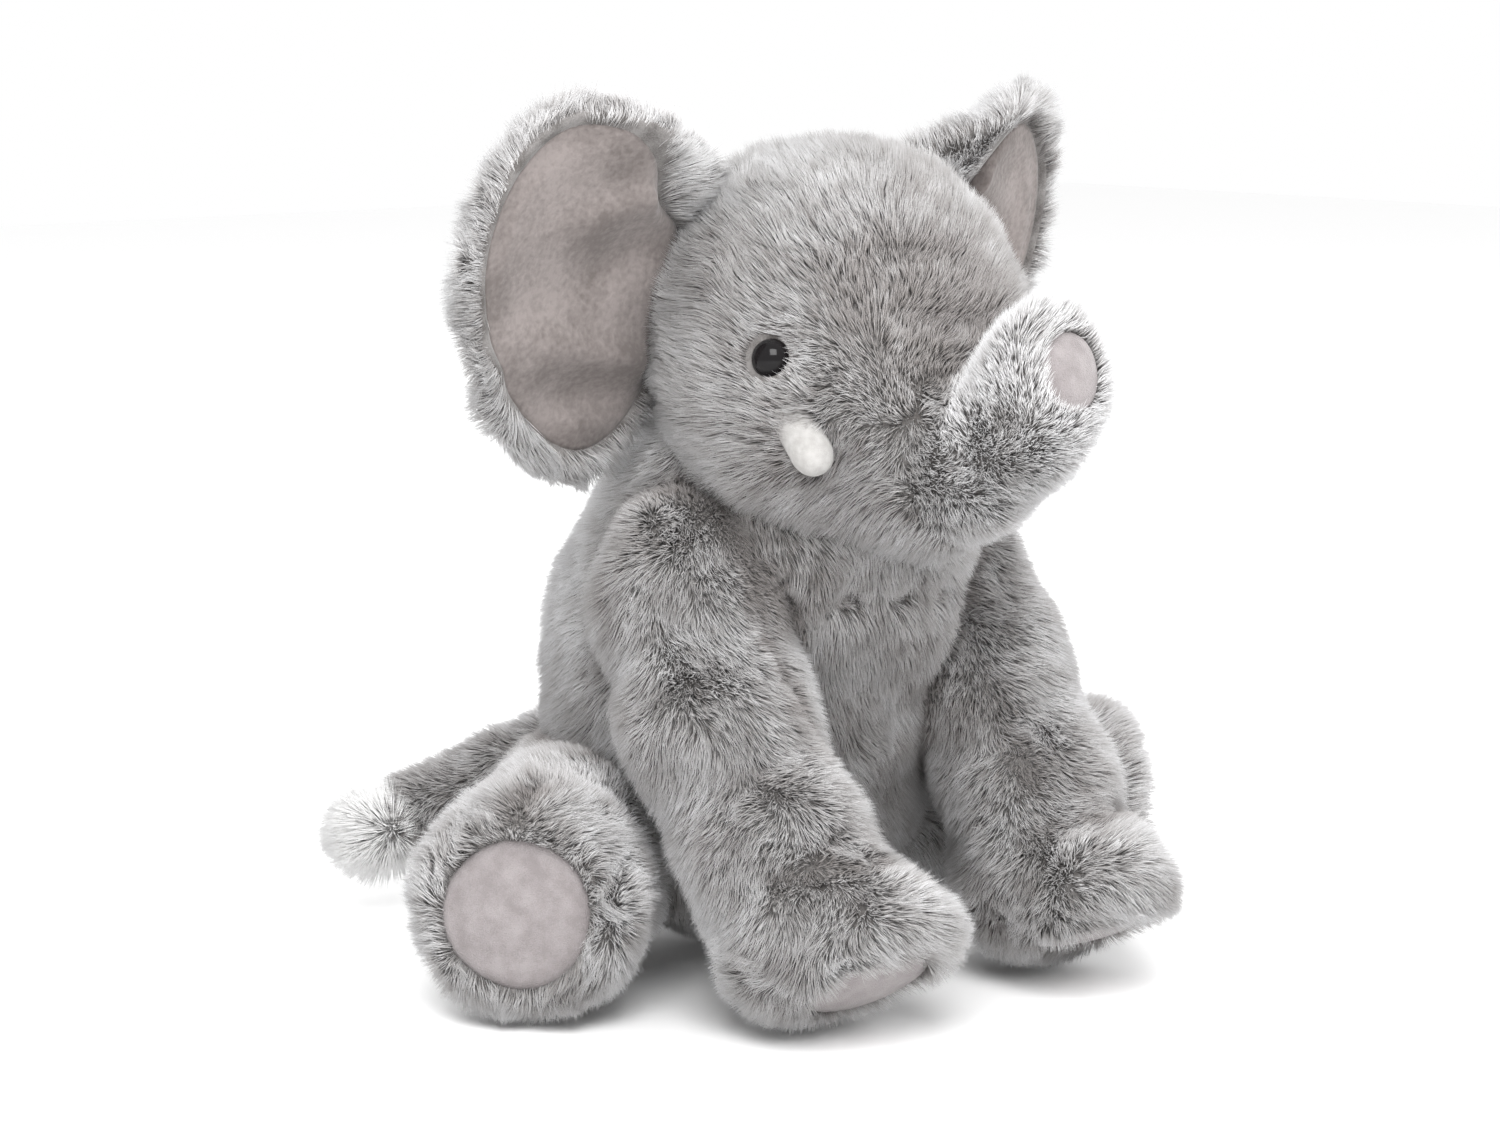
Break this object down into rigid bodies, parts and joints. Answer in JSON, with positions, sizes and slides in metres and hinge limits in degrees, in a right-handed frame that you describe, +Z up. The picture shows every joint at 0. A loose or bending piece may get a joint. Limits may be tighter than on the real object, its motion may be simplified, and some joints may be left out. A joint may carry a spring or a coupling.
{
  "type": "stuffed elephant",
  "caption": "Seated stuffed elephant with raised trunk, wide lined ears, sole pads and a tufted tail, made of sewn plush panels that bend at their seams.",
  "frame": {"origin": "on the floor below the shoulders, on the toy's plane of symmetry", "axes": "+Z up, the face looks along -Y, the toy's left side is +X"},
  "size_m": [0.2437, 0.2535, 0.2385],
  "materials": {
    "grey_plush": "long two-tone pile, frosted tips over a brown-grey base",
    "tuft_plush": "long near-white pile",
    "pad_velour": "short-pile pinkish taupe velour",
    "lining_velour": "short-pile mauve taupe velour",
    "tusk_fabric": "smooth off-white felted fabric",
    "stuffing": "white polyester wadding",
    "bag_cloth": "woven inner bag holding pellets",
    "eye_plastic": "polished black safety eye",
    "washer_plastic": "moulded push-on washer"
  },
  "bodies": {
    "torso": {"torso_side_right": "grey_plush", "torso_side_left": "grey_plush", "chest_panel": "grey_plush", "seat_panel": "grey_plush", "torso_filling": "stuffing", "pellet_bag": "bag_cloth"},
    "neck": {"neck_filling": "stuffing"},
    "head": {"head_side_right": "grey_plush", "head_side_left": "grey_plush", "head_gusset": "grey_plush", "head_filling": "stuffing", "eye_right": "eye_plastic", "eye_washer_right": "washer_plastic", "tusk_right": "tusk_fabric", "eye_left": "eye_plastic", "eye_washer_left": "washer_plastic", "tusk_left": "tusk_fabric"},
    "trunk": {"trunk_panel_right": "grey_plush", "trunk_panel_left": "grey_plush", "trunk_filling": "stuffing", "trunk_tip_pad": "pad_velour"},
    "ear_right": {"ear_back_right": "grey_plush", "ear_lining_right": "lining_velour"},
    "ear_left": {"ear_back_left": "grey_plush", "ear_lining_left": "lining_velour"},
    "tail": {"tail_skin": "grey_plush", "tail_filling": "stuffing", "tail_tuft": "tuft_plush"},
    "foreleg_right": {"foreleg_outer_right": "grey_plush", "foreleg_inner_right": "grey_plush", "foreleg_filling_right": "stuffing", "forefoot_filling_right": "stuffing", "foreleg_pad_right": "pad_velour"},
    "hindleg_right": {"hindleg_upper_right": "grey_plush", "hindleg_lower_right": "grey_plush", "hindleg_filling_right": "stuffing", "hindleg_pad_right": "pad_velour"},
    "foreleg_left": {"foreleg_outer_left": "grey_plush", "foreleg_inner_left": "grey_plush", "foreleg_filling_left": "stuffing", "forefoot_filling_left": "stuffing", "foreleg_pad_left": "pad_velour"},
    "hindleg_left": {"hindleg_upper_left": "grey_plush", "hindleg_lower_left": "grey_plush", "hindleg_filling_left": "stuffing", "hindleg_pad_left": "pad_velour"}
  },
  "joints": [
    {"name": "neck_turn", "type": "hinge", "parent": "torso", "child": "neck", "pos_m": [0, -0.012, 0.154], "axis": [0, 0, 1], "range_deg": [-30, 30], "stiffness_Nm_per_rad": 0.02},
    {"name": "head_nod", "type": "hinge", "parent": "neck", "child": "head", "pos_m": [0, -0.012, 0.154], "axis": [1, 0, 0], "range_deg": [-10, 10], "stiffness_Nm_per_rad": 0.03},
    {"name": "trunk_bend", "type": "hinge", "parent": "head", "child": "trunk", "pos_m": [0, -0.048, 0.141], "axis": [1, 0, 0], "range_deg": [-12, 12], "stiffness_Nm_per_rad": 0.01},
    {"name": "ear_left_flap", "type": "hinge", "parent": "head", "child": "ear_left", "pos_m": [0.04, 0.0075, 0.185], "axis": [0.0988, 0.2799, -0.9549], "range_deg": [-15, 30], "stiffness_Nm_per_rad": 0.004},
    {"name": "ear_right_flap", "type": "hinge", "parent": "head", "child": "ear_right", "pos_m": [-0.04, 0.0075, 0.185], "axis": [0.0988, -0.2799, 0.9549], "range_deg": [-15, 30], "stiffness_Nm_per_rad": 0.004},
    {"name": "foreleg_right_swing", "type": "hinge", "parent": "torso", "child": "foreleg_right", "pos_m": [-0.046, -0.002, 0.106], "axis": [-1, 0, 0], "range_deg": [-5, 30], "stiffness_Nm_per_rad": 0.02},
    {"name": "foreleg_left_swing", "type": "hinge", "parent": "torso", "child": "foreleg_left", "pos_m": [0.046, -0.002, 0.106], "axis": [-1, 0, 0], "range_deg": [-5, 30], "stiffness_Nm_per_rad": 0.02},
    {"name": "hindleg_right_lift", "type": "hinge", "parent": "torso", "child": "hindleg_right", "pos_m": [-0.034, 0.046, 0.035], "axis": [-0.6018, 0.7986, 0], "range_deg": [0, 16], "stiffness_Nm_per_rad": 0.03},
    {"name": "hindleg_left_lift", "type": "hinge", "parent": "torso", "child": "hindleg_left", "pos_m": [0.049, 0.035, 0.035], "axis": [-0.5736, -0.8192, 0], "range_deg": [0, 16], "stiffness_Nm_per_rad": 0.03},
    {"name": "tail_swing", "type": "hinge", "parent": "torso", "child": "tail", "pos_m": [0, 0.083, 0.05], "axis": [0, 0, -1], "range_deg": [-5, 40], "stiffness_Nm_per_rad": 0.004}
  ]
}
